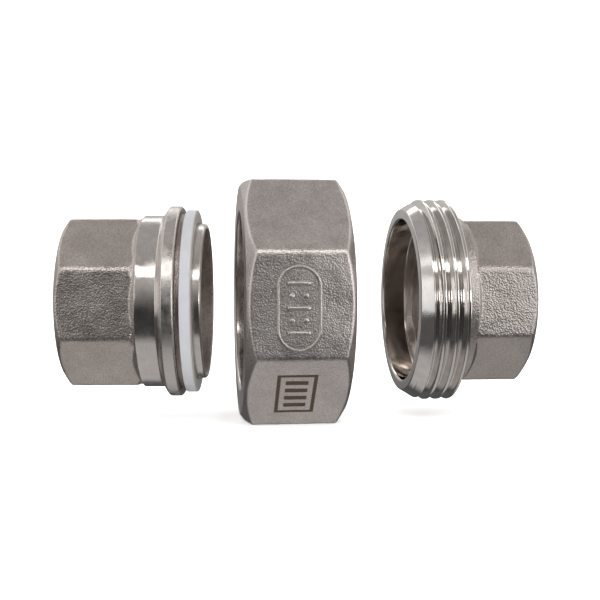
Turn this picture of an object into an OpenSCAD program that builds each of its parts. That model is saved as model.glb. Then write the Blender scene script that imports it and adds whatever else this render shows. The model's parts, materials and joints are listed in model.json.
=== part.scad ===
// Pipe union, 1/2 inch, flat seat, laid out taken apart along the axis it screws together on.
// The nut stands on one flat. +X runs along the axis of the nut and the threaded end, from the
// nut's lip to its thread; +Z is up; the origin is the middle of the flat that the nut stands on.
// Each body is drawn along its own axis, with s = 0 at one end, and then laid in its place.

/* [Pipe thread] */
// Bore over the crests of the 1/2 inch pipe thread
pipe_bore_d = 18.63; // [17:0.01:19.5]
// Mouth of the lead-in cone at each pipe end
pipe_mouth_d = 21.6; // [21:0.1:23]
// Length of that lead-in cone
pipe_lead = 1.4; // [0.8:0.1:2]

/* [Wrench ends] */
// Width across the flats of both octagonal wrench ends
end_flats = 27.4; // [26:0.1:28]
// Circle where the wrench ends' chamfer meets their flat face
end_face_d = 26.4; // [25:0.1:26.8]
// Slope of every octagon's end chamfer, from the face
chamfer_angle = 34; // [20:1:45]

/* [Union thread] */
// Outer diameter of the union thread
thread_d = 35; // [34:0.5:37]
// Pitch of the union thread
thread_pitch = 2; // [1.5:0.5:2]
// Height of the outer thread's ridge
thread_h = 1.2; // [0.8:0.05:1.25]
// Radial gap between the two threads, crest to root
thread_gap = 0.15; // [0.1:0.01:0.25]

/* [Tailpiece] */
// Whole length of the tailpiece
tail_len = 23; // [22:0.5:28]
// Length of its octagon
tail_oct_len = 11.9; // [10:0.1:12.5]
// Diameter of the turned neck behind the collar
neck_d = 29; // [28:0.1:29.6]
// Diameter of the collar that the nut's lip pulls on
collar_d = 32.1; // [31.6:0.1:32.4]
// Diameter of the land that backs the seal ring
land_d = 29.4; // [28:0.1:30]
// Outer diameter of the nose that carries the seal ring
nose_d = 26.2; // [26:0.1:27]
// Cast bore inside the nose
nose_bore_d = 24.6; // [22:0.1:25]

/* [Seal ring] */
// Outer diameter of the seal ring
ring_d = 30.8; // [30:0.1:31.2]
// Thickness of the seal ring
ring_t = 1.8; // [1:0.1:2]
// Radial gap between the ring's bore and the nose
ring_gap = 0.05; // [0.02:0.01:0.1]

/* [Union nut] */
// Width across the flats of the nut
nut_flats = 40.5; // [39.5:0.5:43]
// Length of the nut
nut_len = 17.2; // [16.5:0.1:19]
// Circle where the nut's chamfer meets its flat faces
nut_face_d = 38.7; // [37.5:0.1:39]
// Bore through the nut's lip: passes over the wrench ends and stops at the collar
lip_bore_d = 30.4; // [30:0.1:31]
// Thickness of the lip
lip_t = 3; // [2:0.1:3.5]

/* [Threaded end] */
// Whole length of the threaded end
cup_len = 20.4; // [19:0.1:24]
// Diameter of its flat front face, where the entry cone starts
front_d = 31.6; // [31.2:0.1:32.2]
// Length of the entry cone up to the full thread
entry_len = 2.8; // [2:0.1:3]
// Distance from the front face to the back of the thread
thread_end = 7.9; // [7:0.1:8.2]
// Distance from the front face to the octagon
cup_neck_end = 10; // [9.2:0.1:10.5]
// Polished bore behind the front face
cup_bore_d = 27.9; // [27:0.1:28.4]
// Depth of that bore
cup_bore_len = 4.2; // [3:0.1:5]

/* [Layout] */
// Distance from the nut's middle to the threaded end's front face
cup_x = 19.6; // [16.2:0.2:24]
// Distance from the nut's middle back to the point that the tailpiece is turned about
tail_x = 26.8; // [26.4:0.2:34]
// Turn of the tailpiece about the vertical
tail_yaw = 6; // [0:1:15]

/* [Size plate] */
// Width of the raised oval outline on the nut's front flat
plate_w = 7; // [5:0.5:8]
// Height of that outline
plate_h = 13.3; // [10:0.1:14]
// How far the outline and its bars stand proud
plate_proud = 0.3; // [0.2:0.05:0.5]

/* [Hidden] */
$fn = 96;
STEEL = [0.72, 0.71, 0.69];
PTFE = [0.93, 0.94, 0.95];
axis_h = nut_flats / 2;
run = 1;                                // overrun of every cutting tool past the face it leaves

// tailpiece, distances from its pipe end
tail_pivot_s = 10.1;                    // close to its centre of mass, so that it hangs balanced
cast_shoulder_s = tail_oct_len + 0.85;  // end of the cast slope from octagon to neck
neck_end_s = 16.05;
collar_s = 16.85;
land_s = 19;
ring_s = 19.75;
tail_thread_s = 13.4;                   // inner end of the pipe thread
nose_bore_s = 15.2;
collar_edge = 0.25;
nose_edge = 0.3;

// union nut, distances from the lip's face
relief_end_s = 5.3;                     // start of the nut's thread
thread_root_d = thread_d + 2 * thread_gap;
nut_mouth_d = 36.2;                     // mouth of the 45 degree countersink before the nut's thread

// threaded end, distances from the front face
floor_s = cup_bore_len + 1.2;
cup_thread_s = floor_s + 0.55;
floor_d = 24.5;
front_edge = 0.3;

// threads: 60 degree flanks, so a ridge widens by this much for each mm towards its root
FLANK = 2 * tan(30);
STEPS = 40;                             // flat steps in one turn of a ridge
core_d = thread_d - 2 * thread_h;
crest_w = 0.2;                          // outer thread, flat on top of the ridge
nut_crest_w = 0.3;                      // inner thread, the same
nut_crest_d = core_d + 2 * thread_gap;
embed = 0.12;                           // depth of a ridge's root inside its body
// the nut's ridge is turned so that it runs midway between the turns of the outer one
ridge_turn = -360 * (cup_x + nut_len / 2 + thread_pitch / 2) / thread_pitch;

// a solid drawn along +Z comes to lie along +X
module lay_along_x() {
    rotate([0, 90, 0]) children();
}

// octagonal bar with two flats level, chamfered at s = 0 or at both ends
module octagon_bar(flats, length, face_d, both_ends) {
    corner_r = flats / 2 / cos(22.5);
    slope = tan(chamfer_angle);
    reach = corner_r - face_d / 2 + 1;
    intersection() {
        rotate([0, 0, 22.5]) cylinder(r = corner_r, h = length, $fn = 8);
        rotate_extrude() polygon([
            [0, 0],
            [face_d / 2, 0],
            [face_d / 2 + reach, reach * slope],
            [face_d / 2 + reach, length - (both_ends ? reach * slope : 0)],
            [face_d / 2 + (both_ends ? 0 : reach), length],
            [0, length]
        ]);
    }
}

// solid of revolution about Z from its outline, a list of [s, diameter] points
module turned(outline) {
    last = len(outline) - 1;
    rotate_extrude() polygon(concat(
        [[0, outline[0][0]]],
        [for (p = outline) [p[1] / 2, p[0]]],
        [[0, outline[last][0]]]
    ));
}

// right-hand thread ridge: a trapezoid swept from height z0 to z1, pointing out or in, whose turns
// cross the X axis at whole pitches
module ridge(z0, z1, crest_r, root_r, top_w) {
    root_w = top_w + FLANK * abs(crest_r - root_r);
    steps = ceil((z1 - z0) / thread_pitch * STEPS);
    section = crest_r > root_r
        ? [[root_r, -root_w / 2], [crest_r, -top_w / 2], [crest_r, top_w / 2], [root_r, root_w / 2]]
        : [[crest_r, -top_w / 2], [root_r, -root_w / 2], [root_r, root_w / 2], [crest_r, top_w / 2]];
    points = [
        for (i = [0:steps], p = section)
            let (z = z0 + thread_pitch * (i + 0.5) / STEPS, a = 360 * z / thread_pitch)
            [p[0] * cos(a), p[0] * sin(a), z + p[1]]
    ];
    sides = [
        for (i = [0:steps - 1], k = [0:3])
            let (a = 4 * i + k, b = 4 * i + (k + 1) % 4)
            each [[a, b, b + 4], [a, b + 4, a + 4]]
    ];
    polyhedron(points, concat([[3, 2, 1, 0]], sides, [[for (k = [0:3]) 4 * steps + k]]));
}

module tailpiece_solid() {
    difference() {
        union() {
            octagon_bar(end_flats, tail_oct_len, end_face_d, false);
            turned([
                [tail_oct_len - 1, end_flats],
                [tail_oct_len, end_flats],
                [cast_shoulder_s, neck_d],
                [neck_end_s, neck_d],
                [collar_s, collar_d - 2 * collar_edge],
                [collar_s + collar_edge, collar_d],
                [land_s - collar_edge, collar_d],
                [land_s, collar_d - 2 * collar_edge],
                [land_s, land_d],
                [ring_s, land_d],
                [ring_s, nose_d],
                [tail_len - nose_edge, nose_d],
                [tail_len, nose_d - nose_edge]
            ]);
        }
        cylinder(d = pipe_bore_d, h = tail_len);
        pipe_lead_in();
        turned([
            [tail_thread_s, pipe_bore_d],
            [nose_bore_s, nose_bore_d],
            [tail_len + run, nose_bore_d]
        ]);
    }
}

// lead-in cone of a pipe thread whose face is at s = 0, opening towards -Z
module pipe_lead_in() {
    grow = (pipe_mouth_d - pipe_bore_d) / pipe_lead;
    turned([
        [-run, pipe_mouth_d + grow * run],
        [pipe_lead, pipe_bore_d],
        [pipe_lead + run, pipe_bore_d]
    ]);
}

module seal_ring_solid() {
    difference() {
        cylinder(d = ring_d, h = ring_t);
        translate([0, 0, -run]) cylinder(d = nose_d + 2 * ring_gap, h = ring_t + 2 * run);
    }
}

module nut_thread() {
    intersection() {
        rotate([0, 0, ridge_turn]) ridge(relief_end_s - thread_pitch, nut_len + thread_pitch,
            nut_crest_d / 2, thread_root_d / 2 + embed, nut_crest_w);
        translate([0, 0, relief_end_s]) cylinder(d = thread_root_d + 2, h = nut_len - relief_end_s);
    }
}

// outline of a stadium standing on end
module stadium(w, h) {
    square([w, h - w], center = true);
    for (side = [-1, 1]) translate([0, side * (h - w) / 2]) circle(d = w);
}

// raised oval with plain bars and dots inside it, on a flat that faces +Z
module size_plate() {
    line = 0.45;
    rows = 5;
    step = 1.9;
    linear_extrude(plate_proud + run) {
        difference() {
            stadium(plate_w, plate_h);
            stadium(plate_w - 2 * line, plate_h - 2 * line);
        }
        for (i = [0:rows - 1]) translate([0, (i - (rows - 1) / 2) * step]) {
            if (i % 2 == 0) square([3.6, 0.75], center = true);
            else for (x = [-1.1, 1.1]) translate([x, 0]) circle(d = 0.9);
        }
    }
}

module tailpiece() {
    color(STEEL)
    translate([-tail_x, 0, axis_h])
    rotate([0, 0, -tail_yaw])
    lay_along_x()
    translate([0, 0, -tail_pivot_s])
    tailpiece_solid();
}

module seal_ring() {
    color(PTFE)
    translate([-tail_x, 0, axis_h])
    rotate([0, 0, -tail_yaw])
    lay_along_x()
    translate([0, 0, ring_s - tail_pivot_s])
    seal_ring_solid();
}

module union_nut_solid() {
    mouth_len = (nut_mouth_d - nut_crest_d) / 2 + 0.5;
    difference() {
        union() {
            difference() {
                octagon_bar(nut_flats, nut_len, nut_face_d, true);
                turned([
                    [-run, lip_bore_d],
                    [lip_t, lip_bore_d],
                    [lip_t, thread_root_d],
                    [nut_len + run, thread_root_d]
                ]);
            }
            nut_thread();
        }
        turned([
            [nut_len - mouth_len, nut_mouth_d - 2 * mouth_len],
            [nut_len + run, nut_mouth_d + 2 * run]
        ]);
    }
}

module union_nut() {
    color(STEEL)
    translate([-nut_len / 2, 0, axis_h])
    lay_along_x()
    union_nut_solid();
    color(STEEL)
    translate([0.9, run - nut_flats / 2, axis_h - 0.4])
    rotate([90, 0, 0])
    size_plate();
}

module outer_thread() {
    intersection() {
        ridge(0, thread_end + thread_pitch, thread_d / 2, core_d / 2 - embed, crest_w);
        turned([
            [0, front_d],
            [entry_len, thread_d],
            [thread_end, thread_d]
        ]);
    }
}

module threaded_end_solid() {
    difference() {
        union() {
            turned([
                [0, front_d],
                [entry_len * (core_d - front_d) / (thread_d - front_d), core_d],
                [thread_end, core_d],
                [thread_end, neck_d],
                [cup_neck_end + 1, neck_d]
            ]);
            outer_thread();
            translate([0, 0, cup_len]) mirror([0, 0, 1])
                octagon_bar(end_flats, cup_len - cup_neck_end, end_face_d, false);
        }
        turned([
            [-run, cup_bore_d + 2 * front_edge],
            [0, cup_bore_d + 2 * front_edge],
            [front_edge, cup_bore_d],
            [cup_bore_len, cup_bore_d],
            [floor_s, floor_d],
            [cup_thread_s, pipe_bore_d],
            [cup_len + run, pipe_bore_d]
        ]);
        translate([0, 0, cup_len]) mirror([0, 0, 1]) pipe_lead_in();
    }
}

module threaded_end() {
    color(STEEL)
    translate([cup_x, 0, axis_h])
    lay_along_x()
    threaded_end_solid();
}

tailpiece();
seal_ring();
union_nut();
threaded_end();
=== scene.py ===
"""Looks of the pipe union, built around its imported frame.

Each body is one closed mesh turned about its own axis from rings of points, with the octagon, the
threads and the cast unevenness worked into the ring radii. Lengths in the tables are millimetres.
"""
import json
import math

import bmesh
import bpy
import numpy as np
from mathutils import Matrix, Vector, noise


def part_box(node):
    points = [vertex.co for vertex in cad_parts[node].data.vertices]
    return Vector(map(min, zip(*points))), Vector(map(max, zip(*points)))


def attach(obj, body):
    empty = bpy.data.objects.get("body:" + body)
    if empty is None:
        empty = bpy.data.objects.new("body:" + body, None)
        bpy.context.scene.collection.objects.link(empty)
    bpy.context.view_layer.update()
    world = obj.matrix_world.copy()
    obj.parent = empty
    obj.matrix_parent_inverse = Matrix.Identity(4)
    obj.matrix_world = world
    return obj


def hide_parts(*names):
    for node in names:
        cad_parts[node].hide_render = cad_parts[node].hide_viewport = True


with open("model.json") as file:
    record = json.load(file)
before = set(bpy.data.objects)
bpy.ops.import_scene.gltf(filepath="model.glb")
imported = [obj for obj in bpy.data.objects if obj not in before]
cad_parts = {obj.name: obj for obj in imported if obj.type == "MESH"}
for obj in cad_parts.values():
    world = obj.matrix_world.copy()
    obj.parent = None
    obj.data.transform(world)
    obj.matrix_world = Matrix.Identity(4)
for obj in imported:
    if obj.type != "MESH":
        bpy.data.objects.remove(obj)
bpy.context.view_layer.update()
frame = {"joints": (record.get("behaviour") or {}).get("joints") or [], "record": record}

MM = 0.001
TURN = 2 * math.pi

# ---------------------------------------------------------------- sizes, as in the solids
FLATS = 8
CHAMFER = math.tan(math.radians(34))    # length of a chamfer for each millimetre of radius
PIPE = dict(crest_r=9.315, root_r=10.478, pitch=1.814, crest_w=0.15, flank=27.5,
            lead=1.4, mouth_r=10.95, eased_s=0.14, eased_r=10.7)
UNION = dict(r=17.5, core_r=16.3, pitch=2.0, crest_w=0.45, flank=30, gap=0.15, nut_crest_w=0.2)
END_OCT = dict(flat_r=13.7, face_r=13.2, corner=1.5)
NECK_R = 14.5
NOSE = dict(start=19.75, end=23.0, r=13.1)
PLATE = dict(w=7.0, h=13.3, line=0.5, proud=0.38)

# ---------------------------------------------------------------- places, from the frame
nut_low, nut_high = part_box("union_nut")
end_low, end_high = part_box("threaded_end")
joints = {j["name"]: j for j in frame["joints"]}
mounts = {m["name"]: m for m in frame["record"]["mounts"]}
axis_h = joints["nut_turn"]["pos_m"][2]
tail_axis = Vector(joints["ring_slide"]["axis"])
tail_yaw = math.atan2(tail_axis.y, tail_axis.x)
TAIL_MOUNT_S = 7.4      # from the tailpiece's pipe end to the middle of its pipe thread
tail_start = Vector(mounts["tail_pipe_thread"]["pos_m"]) - tail_axis * TAIL_MOUNT_S * MM
nut_len = (nut_high.x - nut_low.x) / MM
end_len = (end_high.x - end_low.x) / MM


def laid(origin, yaw=0.0):
    """Takes a piece drawn along +Z in millimetres to its place, lying along +X turned by yaw."""
    turn = Matrix.Rotation(yaw, 4, "Z") @ Matrix.Rotation(math.pi / 2, 4, "Y")
    return Matrix.Translation(origin) @ turn @ Matrix.Scale(MM, 4)


# ---------------------------------------------------------------- ring geometry
def columns(step_deg, corner_steps=()):
    """Angles round the axis: even steps, and finer ones close to the octagon's corners."""
    angles = set(round(a, 4) for a in np.arange(0, 360, step_deg))
    for corner in range(FLATS):
        middle = (corner + 0.5) * 360 / FLATS
        for off in corner_steps:
            angles.update((round(middle + off, 4), round(middle - off, 4)))
    return np.radians(np.array(sorted(angles)))


def octagon(phi, flat_r, corner):
    """Radius of an octagon with rounded corners, whose flats face 0, 45, 90 ... degrees."""
    half = math.pi / FLATS
    off = np.abs((phi + half) % (2 * half) - half)
    tangent = math.atan((flat_r - corner) * math.tan(half) / flat_r)
    centre = (flat_r - corner) / math.cos(half)
    eps = half - np.maximum(off, tangent)
    round_part = centre * np.cos(eps) + np.sqrt(corner**2 - (centre * np.sin(eps)) ** 2)
    return np.where(off < tangent, flat_r / np.cos(off), round_part)


def soft_min(a, b, k):
    h = np.maximum(k - np.abs(a - b), 0) / k
    return np.minimum(a, b) - h * h * k / 4


def soft_max(a, b, k):
    return -soft_min(-a, -b, k)


def smooth_step(low, high, x):
    t = np.clip((x - low) / (high - low), 0, 1)
    return t * t * (3 - 2 * t)


def helix_off(s, phi, pitch, start=0.0):
    """Signed distance along the axis from the middle of a right-hand ridge's nearest turn."""
    turns = (s - start) / pitch - phi / TURN
    return (turns - np.round(turns)) * pitch


def vee(off, crest, root, top_w, flank, soft):
    """Radius of a ridge that falls from crest to root with straight flanks and eased edges."""
    fall = (np.abs(off) - top_w / 2) / math.tan(math.radians(flank))
    depth = abs(crest - root)
    fall = soft_max(soft_min(fall, depth, soft), 0, soft)
    return crest - math.copysign(1, crest - root) * fall


def wrench_end(s, phi):
    """Radius of a wrench end's octagon, s from its chamfered face."""
    bar = octagon(phi, END_OCT["flat_r"], END_OCT["corner"])
    return soft_min(bar, END_OCT["face_r"] + s / CHAMFER, 0.5)


def span(start, stop, step):
    """Stations from start to stop, both included, at most step apart."""
    return np.linspace(start, stop, max(2, math.ceil(abs(stop - start) / step) + 1))


def eased(points, step=0.6):
    """An outline of (s, r, rounding) corners as (s, r) points, corners replaced by short arcs."""
    corners = [Vector((p[0], p[1])) for p in points]
    out = []
    for i, (here, point) in enumerate(zip(corners, points)):
        size = point[2] if len(point) > 2 else 0
        if size and 0 < i < len(points) - 1:
            back = (corners[i - 1] - here).normalized()
            on = (corners[i + 1] - here).normalized()
            first, last = here + back * size, here + on * size
            for t in np.linspace(0, 1, 5):
                out.append(first * (1 - t) ** 2 + here * 2 * t * (1 - t) + last * t**2)
        else:
            out.append(here)
    full = [out[0]]
    for a, b in zip(out, out[1:]):
        count = max(1, math.ceil((b - a).length / step))
        full += [a.lerp(b, (n + 1) / count) for n in range(count)]
    return [(p.x, p.y) for p in full]


class Rings:
    """Collects rings (station, radius at each column, finish) and makes them one closed mesh."""

    def __init__(self, phi):
        self.phi = phi
        self.rows = []

    def add(self, s, r, finish):
        s = np.broadcast_to(np.asarray(s, float), self.phi.shape)
        r = np.broadcast_to(np.asarray(r, float), self.phi.shape)
        self.rows.append((s, r, finish))

    def outline(self, points, finish, step=0.6):
        for s, r in eased(points, step):
            self.add(s, r, finish)

    def surface(self, stations, radius, finish):
        for s in stations:
            self.add(s, radius(s, self.phi), finish)

    def build(self, name, place, finishes, waves=None):
        """waves maps a finish to (height, size) pairs of unevenness, in millimetres."""
        s = np.array([row[0] for row in self.rows])
        r = np.array([row[1] for row in self.rows])
        kinds = [row[2] for row in self.rows]
        x, y = r * np.cos(self.phi), r * np.sin(self.phi)
        for i, kind in enumerate(kinds):
            if kind in (waves or {}):
                points = [Vector(p) for p in zip(x[i], y[i], s[i])]
                bump = np.array([
                    sum(h * noise.noise(p / size) for h, size in waves[kind]) for p in points
                ])
                x[i] += bump * np.cos(self.phi)
                y[i] += bump * np.sin(self.phi)
        count, width = s.shape
        verts = np.stack([x, y, s], axis=2).reshape(-1, 3)
        index = np.arange(count * width).reshape(count, width)
        up, side = np.roll(index, -1, 0), np.roll(index, -1, 1)
        both = np.roll(up, -1, 1)
        quads = np.stack([index, side, both, up], axis=2).reshape(-1, 4)
        mesh = bpy.data.meshes.new(name)
        mesh.vertices.add(len(verts))
        mesh.vertices.foreach_set("co", verts.ravel())
        mesh.loops.add(quads.size)
        mesh.loops.foreach_set("vertex_index", quads.ravel())
        mesh.polygons.add(len(quads))
        mesh.polygons.foreach_set("loop_start", np.arange(0, quads.size, 4))
        order = list(finishes)
        slots = np.repeat([order.index(kind) for kind in kinds], width)
        mesh.polygons.foreach_set("material_index", slots)
        mesh.polygons.foreach_set("use_smooth", np.ones(len(quads), bool))
        for material in finishes.values():
            mesh.materials.append(material)
        mesh.update(calc_edges=True)
        mesh.validate()
        mesh.transform(place)
        piece = bpy.data.objects.new(name, mesh)
        bpy.context.scene.collection.objects.link(piece)
        return piece


# ---------------------------------------------------------------- materials
def wire(tree, socket, value):
    """Links an output into a socket, or sets the socket to a number or an RGB colour."""
    if isinstance(value, bpy.types.NodeSocket):
        tree.links.new(value, socket)
    elif isinstance(value, tuple):
        socket.default_value = (*value, 1)
    else:
        socket.default_value = value


def math_node(tree, operation, *values):
    node = tree.nodes.new("ShaderNodeMath")
    node.operation = operation
    for socket, value in zip(node.inputs, values):
        wire(tree, socket, value)
    return node.outputs[0]


def mix_node(tree, factor, a, b, kind="MIX"):
    """Mixes two colours; factor, a and b are outputs, numbers or RGB colours."""
    node = tree.nodes.new("ShaderNodeMix")
    node.data_type = "RGBA"
    node.blend_type = kind
    factor_in, a_in, b_in = node.inputs[0], node.inputs[6], node.inputs[7]
    for socket, value in ((factor_in, factor), (a_in, a), (b_in, b)):
        wire(tree, socket, value)
    return node.outputs[2]


class Shader:
    """Small helper to wire a Principled material in object coordinates, in millimetres."""

    def __init__(self, name, **sockets):
        self.material = bpy.data.materials.new(name)
        self.material.use_nodes = True
        self.tree = self.material.node_tree
        self.shader = self.tree.nodes["Principled BSDF"]
        for socket, value in sockets.items():
            self.shader.inputs[socket.replace("_", " ")].default_value = value
        coords = self.tree.nodes.new("ShaderNodeTexCoord")
        scale = self.tree.nodes.new("ShaderNodeVectorMath")
        scale.operation = "SCALE"
        scale.inputs["Scale"].default_value = 1 / MM
        self.link(coords.outputs["Object"], scale.inputs[0])
        self.place = scale.outputs[0]
        self.normal = None

    def link(self, a, b):
        self.tree.links.new(a, b)

    def noise(self, size, detail=2.0, rough=0.5, warp=0.0):
        """Noise whose features are about size millimetres."""
        node = self.tree.nodes.new("ShaderNodeTexNoise")
        node.inputs["Scale"].default_value = 1 / size
        node.inputs["Detail"].default_value = detail
        node.inputs["Roughness"].default_value = rough
        node.inputs["Distortion"].default_value = warp
        self.link(self.place, node.inputs["Vector"])
        return node.outputs[0]

    def lines(self, direction, size):
        """Noise that changes only along a direction."""
        node = self.tree.nodes.new("ShaderNodeTexNoise")
        node.noise_dimensions = "1D"
        node.inputs["Scale"].default_value = 1 / size
        node.inputs["Detail"].default_value = 2.0
        self.link(self.along(direction), node.inputs["W"])
        return node.outputs[0]

    def cells(self, size):
        """Distance to the middle of the nearest of many cells, each about size millimetres."""
        node = self.tree.nodes.new("ShaderNodeTexVoronoi")
        node.feature = "SMOOTH_F1"
        node.inputs["Smoothness"].default_value = 0.35
        node.inputs["Scale"].default_value = 1 / size
        self.link(self.place, node.inputs["Vector"])
        return node.outputs[0]

    def remap(self, value, source, result):
        """Takes the source range to the result range, and holds its ends beyond them."""
        node = self.tree.nodes.new("ShaderNodeMapRange")
        for socket, limit in zip(node.inputs[1:5], (*source, *result)):
            socket.default_value = limit
        self.link(value, node.inputs[0])
        return node.outputs[0]

    def mix(self, factor, a, b, kind="MIX"):
        return mix_node(self.tree, factor, a, b, kind)

    def math(self, operation, *values):
        return math_node(self.tree, operation, *values)

    def along(self, direction, origin=0.0):
        """Distance along a direction, in millimetres, less the origin's."""
        node = self.tree.nodes.new("ShaderNodeVectorMath")
        node.operation = "DOT_PRODUCT"
        node.inputs[1].default_value = direction
        self.link(self.place, node.inputs[0])
        return self.math("SUBTRACT", node.outputs["Value"], origin)

    def plate(self, u, v, middle, size, edge=0.06):
        """1 inside a rectangle of the given middle and size, 0 outside."""
        past = []
        for way, centre, width in zip((u, v), middle, size):
            off = self.math("ABSOLUTE", self.math("SUBTRACT", way, centre))
            past.append(self.math("SUBTRACT", off, width / 2))
        return self.remap(self.math("MAXIMUM", *past), (-edge, edge), (1.0, 0.0))

    def bump(self, height, depth):
        """Bump from height in 0 to 1, depth in millimetres, on top of the bumps before it."""
        node = self.tree.nodes.new("ShaderNodeBump")
        node.inputs["Strength"].default_value = 1.0
        node.inputs["Distance"].default_value = depth * MM
        self.link(height, node.inputs["Height"])
        if self.normal is not None:
            self.link(self.normal, node.inputs["Normal"])
        self.normal = node.outputs[0]

    def set(self, socket, value):
        self.link(value, self.shader.inputs[socket])

    def done(self):
        if self.normal is not None:
            self.link(self.normal, self.shader.inputs["Normal"])
        return self.material


def cast_steel(name, light, dark, stain, grain_depth, mark=None):
    """Blasted investment casting: pebbled grain, warm stains, and brighter worn peaks."""
    s = Shader(name, Metallic=1.0)
    pebbles = s.cells(0.28)
    fine = s.noise(0.18, detail=2.0, rough=0.6)
    blotch = s.noise(4.5, detail=3.0, rough=0.55)
    stains = s.noise(6.5, detail=4.0, rough=0.6, warp=0.4)
    base = s.mix(s.remap(blotch, (0.35, 0.65), (0.0, 1.0)), dark, light)
    base = s.mix(s.remap(stains, (0.55, 0.8), (0.0, 0.5)), base, stain)
    base = s.mix(1.0, base, s.remap(pebbles, (0.1, 0.7), (1.08, 0.84)), "MULTIPLY")
    base = s.mix(1.0, base, s.remap(fine, (0.3, 0.7), (0.84, 1.14)), "MULTIPLY")
    if mark is not None:
        burn = s.mix(s.noise(0.4, detail=3.0), (0.085, 0.058, 0.04), (0.17, 0.125, 0.09))
        base = s.mix(mark(s), base, burn)
    s.set("Base Color", base)
    s.set("Roughness", s.remap(blotch, (0.3, 0.7), (0.33, 0.40)))
    s.bump(s.noise(0.6, detail=2.0), grain_depth * 0.2)
    s.bump(s.remap(pebbles, (0.0, 0.8), (1.0, 0.0)), grain_depth)
    s.bump(fine, grain_depth * 0.5)
    return s.done()


def turned_steel(name, color, roughness, axis=(1, 0, 0)):
    """Lathe-turned steel: fine rings round the axis, light scuffs, and a slow ripple."""
    s = Shader(name, Metallic=1.0)
    scuffs = s.noise(1.7, detail=5.0, rough=0.65)
    rings = s.lines(axis, 0.07)
    worn = tuple(c * 0.86 for c in color)
    tint = s.mix(s.remap(scuffs, (0.35, 0.7), (0.0, 1.0)), worn, color)
    ring_shade = s.remap(rings, (0.3, 0.7), (0.88, 1.06))
    s.set("Base Color", s.mix(1.0, tint, ring_shade, "MULTIPLY"))
    s.set("Roughness", s.remap(scuffs, (0.35, 0.7), (roughness * 0.7, roughness * 1.5)))
    s.bump(s.noise(0.9, detail=3.0), 0.009)
    s.bump(s.noise(0.2, detail=3.0, rough=0.7), 0.006)
    s.bump(rings, 0.0012)
    return s.done()


def ptfe(name, clean, smudged):
    """PTFE: waxy, with smudges where it was handled."""
    s = Shader(name, Roughness=0.42, Subsurface_Weight=0.12, Specular_IOR_Level=0.35)
    glow = 1.2 * MM
    s.shader.inputs["Subsurface Radius"].default_value = (glow, glow, glow)
    smudge = s.noise(4.0, detail=3.0)
    s.set("Base Color", s.mix(s.remap(smudge, (0.45, 0.8), (0.0, 0.6)), clean, smudged))
    s.bump(s.noise(0.5, detail=3.0), 0.01)
    return s.done()


def etched_mark(s):
    """Generic mark burnt into the nut's lower front flat: a plain frame with four bars."""
    frame_w, frame_h, line = 6.4, 9.8, 0.6
    bars, spacing, bar_w, bar_h = 4, 1.9, 3.6, 1.0
    shift, surface_r = -0.4, 19.0
    lean = math.sqrt(0.5)
    middle = axis_h / MM * lean
    u = s.along((1, 0, 0), shift)
    v = s.along((0, -lean, lean), middle)
    out = s.along((0, -lean, -lean), -middle)
    outside = s.plate(u, v, (0, 0), (frame_w, frame_h))
    inside = s.plate(u, v, (0, 0), (frame_w - 2 * line, frame_h - 2 * line))
    mask = s.math("SUBTRACT", outside, inside)
    for row in range(bars):
        place = (0, (row - (bars - 1) / 2) * spacing)
        mask = s.math("MAXIMUM", mask, s.plate(u, v, place, (bar_w, bar_h)))
    return s.math("MULTIPLY", mask, s.math("GREATER_THAN", out, surface_r))


# cast steels: colour where light, where dark and where stained, and depth of grain
CAST = cast_steel(
    "cast_steel", (0.61, 0.553, 0.52), (0.50, 0.448, 0.42), (0.49, 0.402, 0.34), 0.042)
NUT_CAST = cast_steel(
    "nut_cast_steel", (0.655, 0.603, 0.577), (0.555, 0.509, 0.487), (0.55, 0.484, 0.447), 0.030,
    etched_mark)
END_CAST = cast_steel(
    "end_cast_steel", (0.53, 0.482, 0.455), (0.455, 0.413, 0.39), (0.445, 0.386, 0.35), 0.043)
# the land between collar and ring: cast steel made darker and browner, painted shade of its recess
LAND_SHADE_CAST = cast_steel(
    "land_steel_painted_shade", (0.46, 0.39, 0.35), (0.30, 0.25, 0.22), (0.32, 0.25, 0.20), 0.06)
BORE_CAST = cast_steel(
    "bore_cast_steel", (0.60, 0.53, 0.485), (0.42, 0.365, 0.33), (0.43, 0.35, 0.295), 0.09)

# turned steels: colour and roughness
TURNED = turned_steel("turned_steel", (0.70, 0.658, 0.631), 0.17, tail_axis)
COLLAR = turned_steel("collar_steel", (0.68, 0.638, 0.61), 0.31, tail_axis)
NUT_TURNED = turned_steel("nut_turned_steel", (0.70, 0.658, 0.631), 0.17)
BRIGHT = turned_steel("bright_turned_steel", (0.72, 0.683, 0.66), 0.08)
BORED = turned_steel("bored_steel", (0.72, 0.665, 0.62), 0.075)

# grey rather than white, because the studio's light is strong; the faces' warmer grey is a painted
# reflection of the steel nose
RING_EDGE = ptfe("white_ptfe", (0.32, 0.328, 0.342), (0.275, 0.282, 0.295))
RING_FACE_PAINTED_REFLECTION = ptfe("handled_ptfe_painted_reflection", (0.33, 0.312, 0.297), (0.27, 0.248, 0.23))

# unevenness of surfaces, as (height, size) pairs
CAST_WAVES = [(0.02, 0.9), (0.03, 2.2), (0.055, 6.0)]
COLLAR_WAVES = [(0.012, 1.2)]
BORE_WAVES = [(0.06, 1.1), (0.12, 3.0)]


def pipe_thread(rings, start, stop, finish):
    """Inner pipe thread from start to stop."""
    def radius(s, phi):
        off = helix_off(s, phi, PIPE["pitch"])
        return vee(off, PIPE["crest_r"], PIPE["root_r"], PIPE["crest_w"], PIPE["flank"], 0.18)
    rings.surface(span(start, stop, 0.16), radius, finish)


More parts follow.
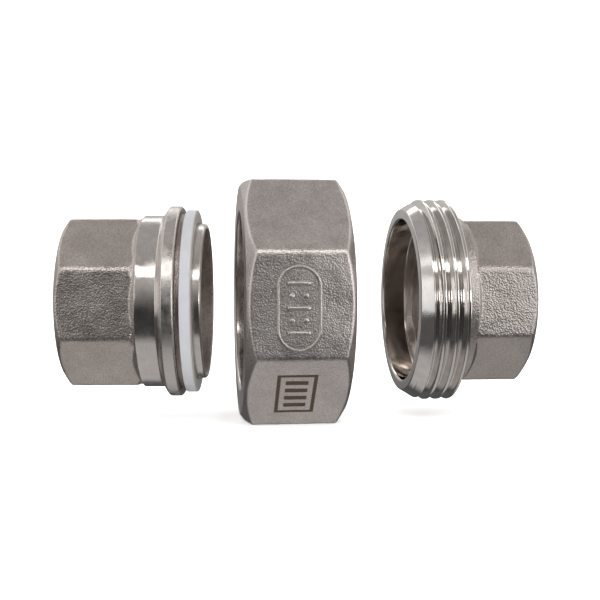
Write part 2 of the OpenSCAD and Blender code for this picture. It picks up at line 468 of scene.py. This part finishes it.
# ---------------------------------------------------------------- the pieces
def tailpiece():
    """Octagon with the pipe thread, turned neck and collar, and the nose that carries the ring."""
    oct_end, neck_start, neck_end = 11.9, 12.75, 16.05
    collar_back, collar_front, collar_r, edge_r = 17.1, 19.0, 16.05, 15.8
    land_r = 14.7
    bore_r, bore_end, throat_s = 12.3, 15.3, 13.6
    corner_r, corner_fall = 15.2, 1.1
    front, nose_r = NOSE["end"], NOSE["r"]
    rings = Rings(columns(1.25, (0.25, 0.6, 1.0, 1.6, 2.3)))

    def octagon_part(s, phi):
        fall = corner_r - max(0.0, s - (oct_end - 0.4)) * corner_fall
        flat_r = END_OCT["flat_r"]
        cone = flat_r + (s - oct_end) / (neck_start - oct_end) * (NECK_R - flat_r)
        return soft_max(soft_min(wrench_end(s, phi), fall, 0.3), cone, 0.25)

    rings.outline([(PIPE["eased_s"], PIPE["eased_r"]), (0, PIPE["mouth_r"], 0.1),
                   (0, END_OCT["face_r"] - 0.3)], "cast")
    stations = (span(0.03, 1.3, 0.13), span(1.5, oct_end - 0.7, 0.33),
                span(oct_end - 0.55, neck_start, 0.12))
    rings.surface(np.concatenate(stations), octagon_part, "cast")
    rings.outline([(neck_start + 0.05, NECK_R), (neck_end, NECK_R, 0.15),
                   (neck_end + 0.4, NECK_R + 0.65)], "turned", 0.5)
    rings.outline([(neck_end + 0.45, NECK_R + 0.73), (collar_back - 0.25, edge_r, 0.12),
                   (collar_back, collar_r, 0.1), (collar_front - 0.25, collar_r, 0.1),
                   (collar_front, edge_r)], "collar", 0.5)
    # the recessed land takes the darker steel, painted shade
    rings.outline([(collar_front, edge_r - 0.1), (collar_front, land_r, 0.1),
                   (NOSE["start"], land_r, 0.08), (NOSE["start"], nose_r + 0.1)], "land", 0.4)
    rings.outline([(NOSE["start"], nose_r), (front - 0.3, nose_r, 0.12),
                   (front, nose_r - 0.25, 0.1), (front, bore_r + 0.2)], "turned", 0.5)
    rings.outline([(front - 0.05, bore_r + 0.05), (bore_end, bore_r, 0.3), (throat_s, 9.6),
                   (throat_s - 0.15, PIPE["crest_r"])], "bore", 0.35)
    pipe_thread(rings, throat_s - 0.3, PIPE["lead"], "bore")
    rings.outline([(PIPE["lead"] - 0.1, 9.5), (PIPE["eased_s"] + 0.05, PIPE["eased_r"] - 0.1)],
                  "bore")
    finishes = {"cast": CAST, "turned": TURNED, "collar": COLLAR, "land": LAND_SHADE_CAST,
                "bore": BORE_CAST}
    waves = {"cast": CAST_WAVES, "collar": COLLAR_WAVES, "bore": BORE_WAVES}
    return rings.build("tailpiece_body", laid(tail_start, tail_yaw), finishes, waves)


def seal_ring():
    """Flat ring on the nose, its faces a warmer grey than its edge, a painted reflection of the steel
    nose.
    """
    back, thick, outer, inner = NOSE["start"] + 0.01, 1.79, 15.4, 13.15
    front = back + thick
    rings = Rings(columns(1.25))
    rings.outline([(back, inner + 0.2), (back, outer, 0.18), (front - 0.25, outer)], "edge", 0.4)
    # the faces take the warmer grey, a painted reflection of the steel nose
    rings.outline([(front - 0.2, outer - 0.01), (front, outer - 0.1, 0.2), (front, inner, 0.15),
                   (back, inner, 0.15), (back, inner + 0.15)], "face", 0.3)
    return rings.build("seal_ring_ptfe", laid(tail_start, tail_yaw),
                       {"edge": RING_EDGE, "face": RING_FACE_PAINTED_REFLECTION})


def union_nut():
    """Chamfered octagon with a lip at s = 0, a relief behind it, and the union thread."""
    flat_r, face_r, corner = (nut_high.z - axis_h) / MM, 19.5, 1.6
    lip_r, lip, relief, mouth_r = 15.2, 3.0, 5.3, 18.1
    root_r = UNION["r"] + UNION["gap"]
    crest_r = UNION["core_r"] + UNION["gap"]
    phase = (end_low.x + nut_high.x) / MM + UNION["pitch"] / 2    # ridges between the end's ridges
    rings = Rings(columns(1.0, (0.25, 0.75, 1.25)))

    def outer(s, phi):
        chamfer = face_r + min(s, nut_len - s) / CHAMFER
        return soft_min(octagon(phi, flat_r, corner), chamfer, 0.5)

    def inner(s, phi):
        off = helix_off(s, phi, UNION["pitch"], phase)
        ridge = vee(off, crest_r, root_r, UNION["nut_crest_w"], UNION["flank"], 0.12)
        ridge = root_r - (root_r - ridge) * smooth_step(relief, relief + 0.6, s)
        return soft_max(ridge, mouth_r - (nut_len - s), 0.15)

    edge = span(0.04, 2.3, 0.13)
    rings.outline([(0, lip_r + 0.35), (0, face_r - 0.2)], "cast", 0.5)
    stations = (edge, span(2.6, nut_len - 2.6, 0.36), nut_len - edge[::-1])
    rings.surface(np.concatenate(stations), outer, "cast")
    rings.outline([(nut_len, face_r - 0.2), (nut_len, mouth_r + 0.1)], "turned", 0.4)
    rings.surface(span(nut_len - 0.05, relief, 0.14), inner, "turned")
    rings.outline([(relief - 0.1, root_r), (lip, root_r, 0.2), (lip, lip_r, 0.2), (0.3, lip_r, 0.15),
                   (0.02, lip_r + 0.3)], "turned", 0.5)
    return rings.build("union_nut_body", laid(Vector((nut_low.x, 0, axis_h))),
                       {"cast": NUT_CAST, "turned": NUT_TURNED}, {"cast": CAST_WAVES})


def skin(bm, rows, closed=False):
    """Faces between neighbouring rows of vertices, and an end cap at each end of an open run."""
    count = len(rows[0])
    pairs = list(zip(rows, rows[1:])) + ([(rows[-1], rows[0])] if closed else [])
    for a, b in pairs:
        for k in range(count):
            nxt = (k + 1) % count
            bm.faces.new((a[k], a[nxt], b[nxt], b[k]))
    if not closed:
        bm.faces.new(rows[0][::-1])
        bm.faces.new(rows[-1])


def rounded_bar(bm, path, width, closed=False):
    """A cast ridge with sloped sides and an eased top, swept along a path in the flat's plane."""
    foot, crest = -0.3, PLATE["proud"]
    half, top = width / 2, width / 2 - 0.12
    section = [(-half - 0.05, foot), (-half, crest * 0.35), (-top, crest * 0.92), (-top * 0.4, crest),
               (top * 0.4, crest), (top, crest * 0.92), (half, crest * 0.35), (half + 0.05, foot)]
    count = len(path)
    rows = []
    for i, here in enumerate(path):
        before = path[(i - 1) % count] if closed or i else here
        after = path[(i + 1) % count] if closed or i < count - 1 else here
        way = (after - before).normalized()
        across = Vector((-way.y, way.x))
        rows.append([bm.verts.new((*(here + across * off), height)) for off, height in section])
    skin(bm, rows, closed)


def bead(bm, middle, radius, sides=16):
    """A small domed dot with a foot sunk into the flat."""
    levels = [(1.1, -0.3), (1.0, 0.1), (0.85, 0.24), (0.45, 0.3)]
    rows = []
    for share, height in levels:
        ring = [Vector((math.cos(a), math.sin(a))) for a in np.arange(sides) * TURN / sides]
        rows.append([bm.verts.new((*(middle + way * radius * share), height)) for way in ring])
    skin(bm, rows)


def size_plate():
    """Raised oval on the nut's front flat, with plain bars and dots in place of a size mark."""
    lines, spacing = 5, 1.9
    bar_half, bar_w, dot_off, dot_r = 1.8, 0.75, 1.1, 0.45
    shift_x, shift_z = -0.5, -0.4
    bm = bmesh.new()
    mid_r = (PLATE["w"] - PLATE["line"]) / 2
    straight = (PLATE["h"] - PLATE["w"]) / 2
    oval = []
    for end in (1, -1):
        for a in np.linspace(0, math.pi, 25):
            oval.append(Vector((mid_r * math.cos(a), straight + mid_r * math.sin(a))) * end)
        oval += [Vector((-mid_r, straight * (1 - 2 * t))) * end for t in np.arange(1, 12) / 12]
    rounded_bar(bm, oval, PLATE["line"], closed=True)
    for line in range(lines):
        v = (line - (lines - 1) / 2) * spacing
        if line % 2 == 0:
            rounded_bar(bm, [Vector((u, v)) for u in np.linspace(-bar_half, bar_half, 9)], bar_w)
        else:
            for u in (-dot_off, dot_off):
                bead(bm, Vector((u, v)), dot_r)
    bmesh.ops.recalc_face_normals(bm, faces=bm.faces)
    mesh = bpy.data.meshes.new("nut_size_plate")
    bm.to_mesh(mesh)
    bm.free()
    middle = Vector((shift_x * MM, nut_low.y + PLATE["proud"] * MM, axis_h + shift_z * MM))
    upright = Matrix.Rotation(math.pi / 2, 4, "X")
    mesh.transform(Matrix.Translation(middle) @ upright @ Matrix.Scale(MM, 4))
    mesh.polygons.foreach_set("use_smooth", np.ones(len(mesh.polygons), bool))
    mesh.materials.append(NUT_CAST)
    piece = bpy.data.objects.new("nut_size_plate", mesh)
    bpy.context.scene.collection.objects.link(piece)
    return piece


def threaded_end():
    """Cup with the union thread outside, a floor, and an octagon with the pipe thread."""
    front_r, bore_r, entry, thread_end, neck_end = 15.8, 13.95, 2.8, 7.9, 10.0
    bore_len, floor_s, floor_r, thread_s = 4.2, 5.4, 12.25, 5.95
    rings = Rings(columns(1.0, (0.5, 1.5)))

    def male(s, phi):
        cone = front_r + (UNION["r"] - front_r) * s / entry
        off = helix_off(s, phi, UNION["pitch"])
        ridge = vee(off, UNION["r"], UNION["core_r"], UNION["crest_w"], UNION["flank"], 0.1)
        return soft_min(ridge, cone, 0.08)

    def octagon_part(s, phi):
        past_neck = max(0.0, s - neck_end)
        fall = NECK_R + 0.05 + past_neck * 2.0
        cone = NECK_R - past_neck * 1.2
        return soft_max(soft_min(wrench_end(end_len - s, phi), fall, 0.2), cone, 0.2)

    rings.outline([(0.3, bore_r), (0, bore_r + 0.3, 0.08), (0, front_r - 0.1, 0.05),
                   (0.06, front_r + 0.03)], "bright", 0.4)
    rings.surface(span(0.12, thread_end - 0.05, 0.11), male, "bright")
    edge = male(thread_end, rings.phi)
    for t in (0.03, 0.3, 0.6, 0.9):
        rings.add(thread_end, edge + (NECK_R - edge) * t, "bright")
    rings.outline([(thread_end, NECK_R + 0.1), (thread_end + 0.1, NECK_R), (neck_end - 0.1, NECK_R)],
                  "cast", 0.4)
    stations = (span(neck_end, neck_end + 0.9, 0.12), span(neck_end + 1.1, end_len - 1.5, 0.33),
                span(end_len - 1.3, end_len - 0.03, 0.12))
    rings.surface(np.concatenate(stations), octagon_part, "cast")
    rings.outline([(end_len, END_OCT["face_r"] - 0.3), (end_len, PIPE["mouth_r"], 0.1),
                   (end_len - PIPE["eased_s"], PIPE["eased_r"])], "cast")
    rings.outline([(end_len - PIPE["eased_s"] - 0.06, PIPE["eased_r"] - 0.1),
                   (end_len - PIPE["lead"], 9.4)], "bore", 0.3)
    pipe_thread(rings, end_len - PIPE["lead"] - 0.1, thread_s + 0.2, "bore")
    rings.outline([(thread_s + 0.05, 9.6), (floor_s + 0.05, floor_r - 0.1)], "floor", 0.3)
    rings.outline([(floor_s, floor_r, 0.1), (bore_len, bore_r, 0.15), (0.35, bore_r)], "bored", 0.4)
    finishes = {"cast": END_CAST, "bright": BRIGHT, "bored": BORED, "bore": BORE_CAST,
                "floor": CAST}
    waves = {"cast": CAST_WAVES, "floor": BORE_WAVES}
    return rings.build("threaded_end_body", laid(Vector((end_low.x, 0, axis_h))), finishes, waves)


def finish_piece(piece, body, slot, *nodes):
    """Puts a piece on its moving body, in place of the solids that it replaces; its slot is not used.
    """
    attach(piece, body)
    if nodes:
        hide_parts(*nodes)


finish_piece(tailpiece(), "tail_body", "cast_stainless", "tailpiece")
finish_piece(seal_ring(), "ring_body", "white_ptfe", "seal_ring")
finish_piece(union_nut(), "nut_body", "cast_stainless", "union_nut")
finish_piece(size_plate(), "nut_body", "cast_stainless")
finish_piece(threaded_end(), "end_body", "machined_stainless", "threaded_end")


# ---------------------------------------------------------------- studio
# brightness of the surround by height over the horizon in degrees, in front and at the sides
FRONT_BANDS = [(-90, 0.58), (-52, 0.56), (-44, 0.07), (-8, 0.045), (-3, 0.11), (10, 0.28),
               (27, 0.55), (31, 0.25), (34, 0.3), (36, 5.5), (43, 5.5), (46, 0.35), (62, 0.42),
               (90, 0.5)]
SIDE_BANDS = [(-90, 0.58), (-56, 0.56), (-44, 0.12), (-12, 0.14), (0, 0.6), (35, 0.9), (60, 0.5),
              (90, 0.5)]
# share of the side bands by compass angle from the -Y direction, positive to the right
SIDE_SHARE = [(-180, 0.6), (-70, 1.0), (-45, 0.8), (-30, 0.0), (26, 0.0), (44, 0.9), (70, 1.0),
              (180, 0.6)]
# two bright panels at the height of the part, the left one dimmer, by compass angle and height
PANEL_WAY = [(-180, 0.0), (-84, 0.0), (-78, 0.42), (-46, 0.42), (-42, 0.0), (40, 0.0), (44, 1.0),
             (74, 1.0), (80, 0.0), (180, 0.0)]
PANEL_RISE = [(-90, 0.0), (-14, 0.0), (-9, 1.0), (20, 1.0), (25, 0.0), (90, 0.0)]
PANEL_LEVEL = 2.3
WARMTH = (1.0, 0.985, 0.968)


def studio_floor():
    """A wide pale dish: flat under the part, curving up to a wall all round."""
    steps, flat, curve = 96, 0.9, 0.9
    wall = flat + curve
    profile = [(r, 0.0) for r in np.linspace(0.15, flat, 6)]
    profile += [(flat + math.sin(a) * curve, curve - math.cos(a) * curve)
                for a in np.linspace(0.1, math.pi / 2, 14)]
    profile += [(wall, 1.2), (wall, 1.6)]
    verts = [(0, 0, 0)]
    for r, z in profile:
        verts += [(r * math.cos(a), r * math.sin(a), z) for a in np.arange(steps) * TURN / steps]
    faces = [(0, 1 + j, 1 + (j + 1) % steps) for j in range(steps)]
    for i in range(len(profile) - 1):
        a, b = 1 + i * steps, 1 + (i + 1) * steps
        faces += [(a + j, b + j, b + (j + 1) % steps, a + (j + 1) % steps) for j in range(steps)]
    mesh = bpy.data.meshes.new("studio_floor")
    mesh.from_pydata(verts, [], faces)
    mesh.polygons.foreach_set("use_smooth", np.ones(len(faces), bool))
    floor = bpy.data.objects.new("studio_floor", mesh)
    bpy.context.scene.collection.objects.link(floor)
    pale = bpy.data.materials.new("pale_floor")
    pale.use_nodes = True
    shader = pale.node_tree.nodes["Principled BSDF"]
    shader.inputs["Base Color"].default_value = (0.92, 0.92, 0.92, 1)
    shader.inputs["Roughness"].default_value = 0.9
    shader.inputs["Specular IOR Level"].default_value = 0.1
    shader.inputs["Emission Color"].default_value = (1, 1, 1, 1)
    shader.inputs["Emission Strength"].default_value = 0.35
    mesh.materials.append(pale)
    floor.visible_glossy = False
    floor.visible_shadow = False


def ramp_over(tree, value, reach, stops):
    """Grey levels over an angle from -reach to reach degrees, from (angle, level) stops."""
    to_unit = tree.nodes.new("ShaderNodeMapRange")
    to_unit.inputs[1].default_value = math.radians(-reach)
    to_unit.inputs[2].default_value = math.radians(reach)
    tree.links.new(value, to_unit.inputs[0])
    ramp = tree.nodes.new("ShaderNodeValToRGB")
    elements = ramp.color_ramp.elements
    while len(elements) < len(stops):
        elements.new(0.5)
    for element, (angle, level) in zip(elements, stops):
        element.position = (angle + reach) / (2 * reach)
        element.color = (*[level * share for share in WARMTH], 1)
    tree.links.new(to_unit.outputs[0], ramp.inputs[0])
    return ramp.outputs[0]


def studio_world():
    """Soft surround seen in the metal: a dark camera side with one bright strip, lit sides."""
    world = bpy.data.worlds.new("studio")
    bpy.context.scene.world = world
    world.use_nodes = True
    tree = world.node_tree
    coords = tree.nodes.new("ShaderNodeTexCoord")
    split = tree.nodes.new("ShaderNodeSeparateXYZ")
    tree.links.new(coords.outputs["Generated"], split.inputs[0])
    rise = math_node(tree, "ARCSINE", split.outputs["Z"])
    ahead = math_node(tree, "MULTIPLY", split.outputs["Y"], -1)
    turn = math_node(tree, "ARCTAN2", split.outputs["X"], ahead)
    bands = mix_node(tree, ramp_over(tree, turn, 180, SIDE_SHARE),
                     ramp_over(tree, rise, 90, FRONT_BANDS), ramp_over(tree, rise, 90, SIDE_BANDS))
    panels = mix_node(tree, 1.0, ramp_over(tree, turn, 180, PANEL_WAY),
                      ramp_over(tree, rise, 90, PANEL_RISE), "MULTIPLY")
    lit = mix_node(tree, panels, bands, (PANEL_LEVEL, PANEL_LEVEL, PANEL_LEVEL))
    background = tree.nodes["Background"]
    tree.links.new(lit, background.inputs["Color"])
    background.inputs["Strength"].default_value = 1.0


def area_light(name, place, target, size, power, mirrored):
    """A soft box. One that isn't mirrored lights the floor and the ring, but metal doesn't show it."""
    lamp = bpy.data.lights.new(name, "AREA")
    lamp.shape = "RECTANGLE"
    lamp.size, lamp.size_y = size
    lamp.energy = power
    light = bpy.data.objects.new(name, lamp)
    light.location = place
    aim = Vector(target) - Vector(place)
    light.rotation_euler = aim.to_track_quat("-Z", "Y").to_euler()
    light.visible_glossy = mirrored
    bpy.context.scene.collection.objects.link(light)


def camera():
    """A little above the part's axis and to its left, with a lens sized for a view 600 pixels wide."""
    distance, yaw, rise = 0.160, math.radians(6.8), math.radians(2.5)
    pixels_per_m, width_px, sensor = 5750, 600, 36.0
    target = Vector((0.0020, 0, axis_h))
    level = Vector((-math.sin(yaw), -math.cos(yaw), 0)) * math.cos(rise)
    back = level + Vector((0, 0, math.sin(rise)))
    lens = bpy.data.cameras.new("camera")
    lens.sensor_width = sensor
    lens.lens = pixels_per_m * distance * sensor / width_px
    lens.clip_start = 0.01
    view = bpy.data.objects.new("camera", lens)
    view.location = target + back * distance
    view.rotation_euler = (-back).to_track_quat("-Z", "Y").to_euler()
    bpy.context.scene.collection.objects.link(view)
    bpy.context.scene.camera = view


studio_floor()
studio_world()
area_light("overhead", (0, -0.1, 1.1), (0, 0, 0), (2.4, 2.4), 14, mirrored=False)
area_light("right_front", (0.193, -0.322, 0.055), (0.033, -0.014, axis_h), (0.10, 0.07), 0.13,
           mirrored=True)
camera()
bpy.context.scene.view_settings.view_transform = "Standard"
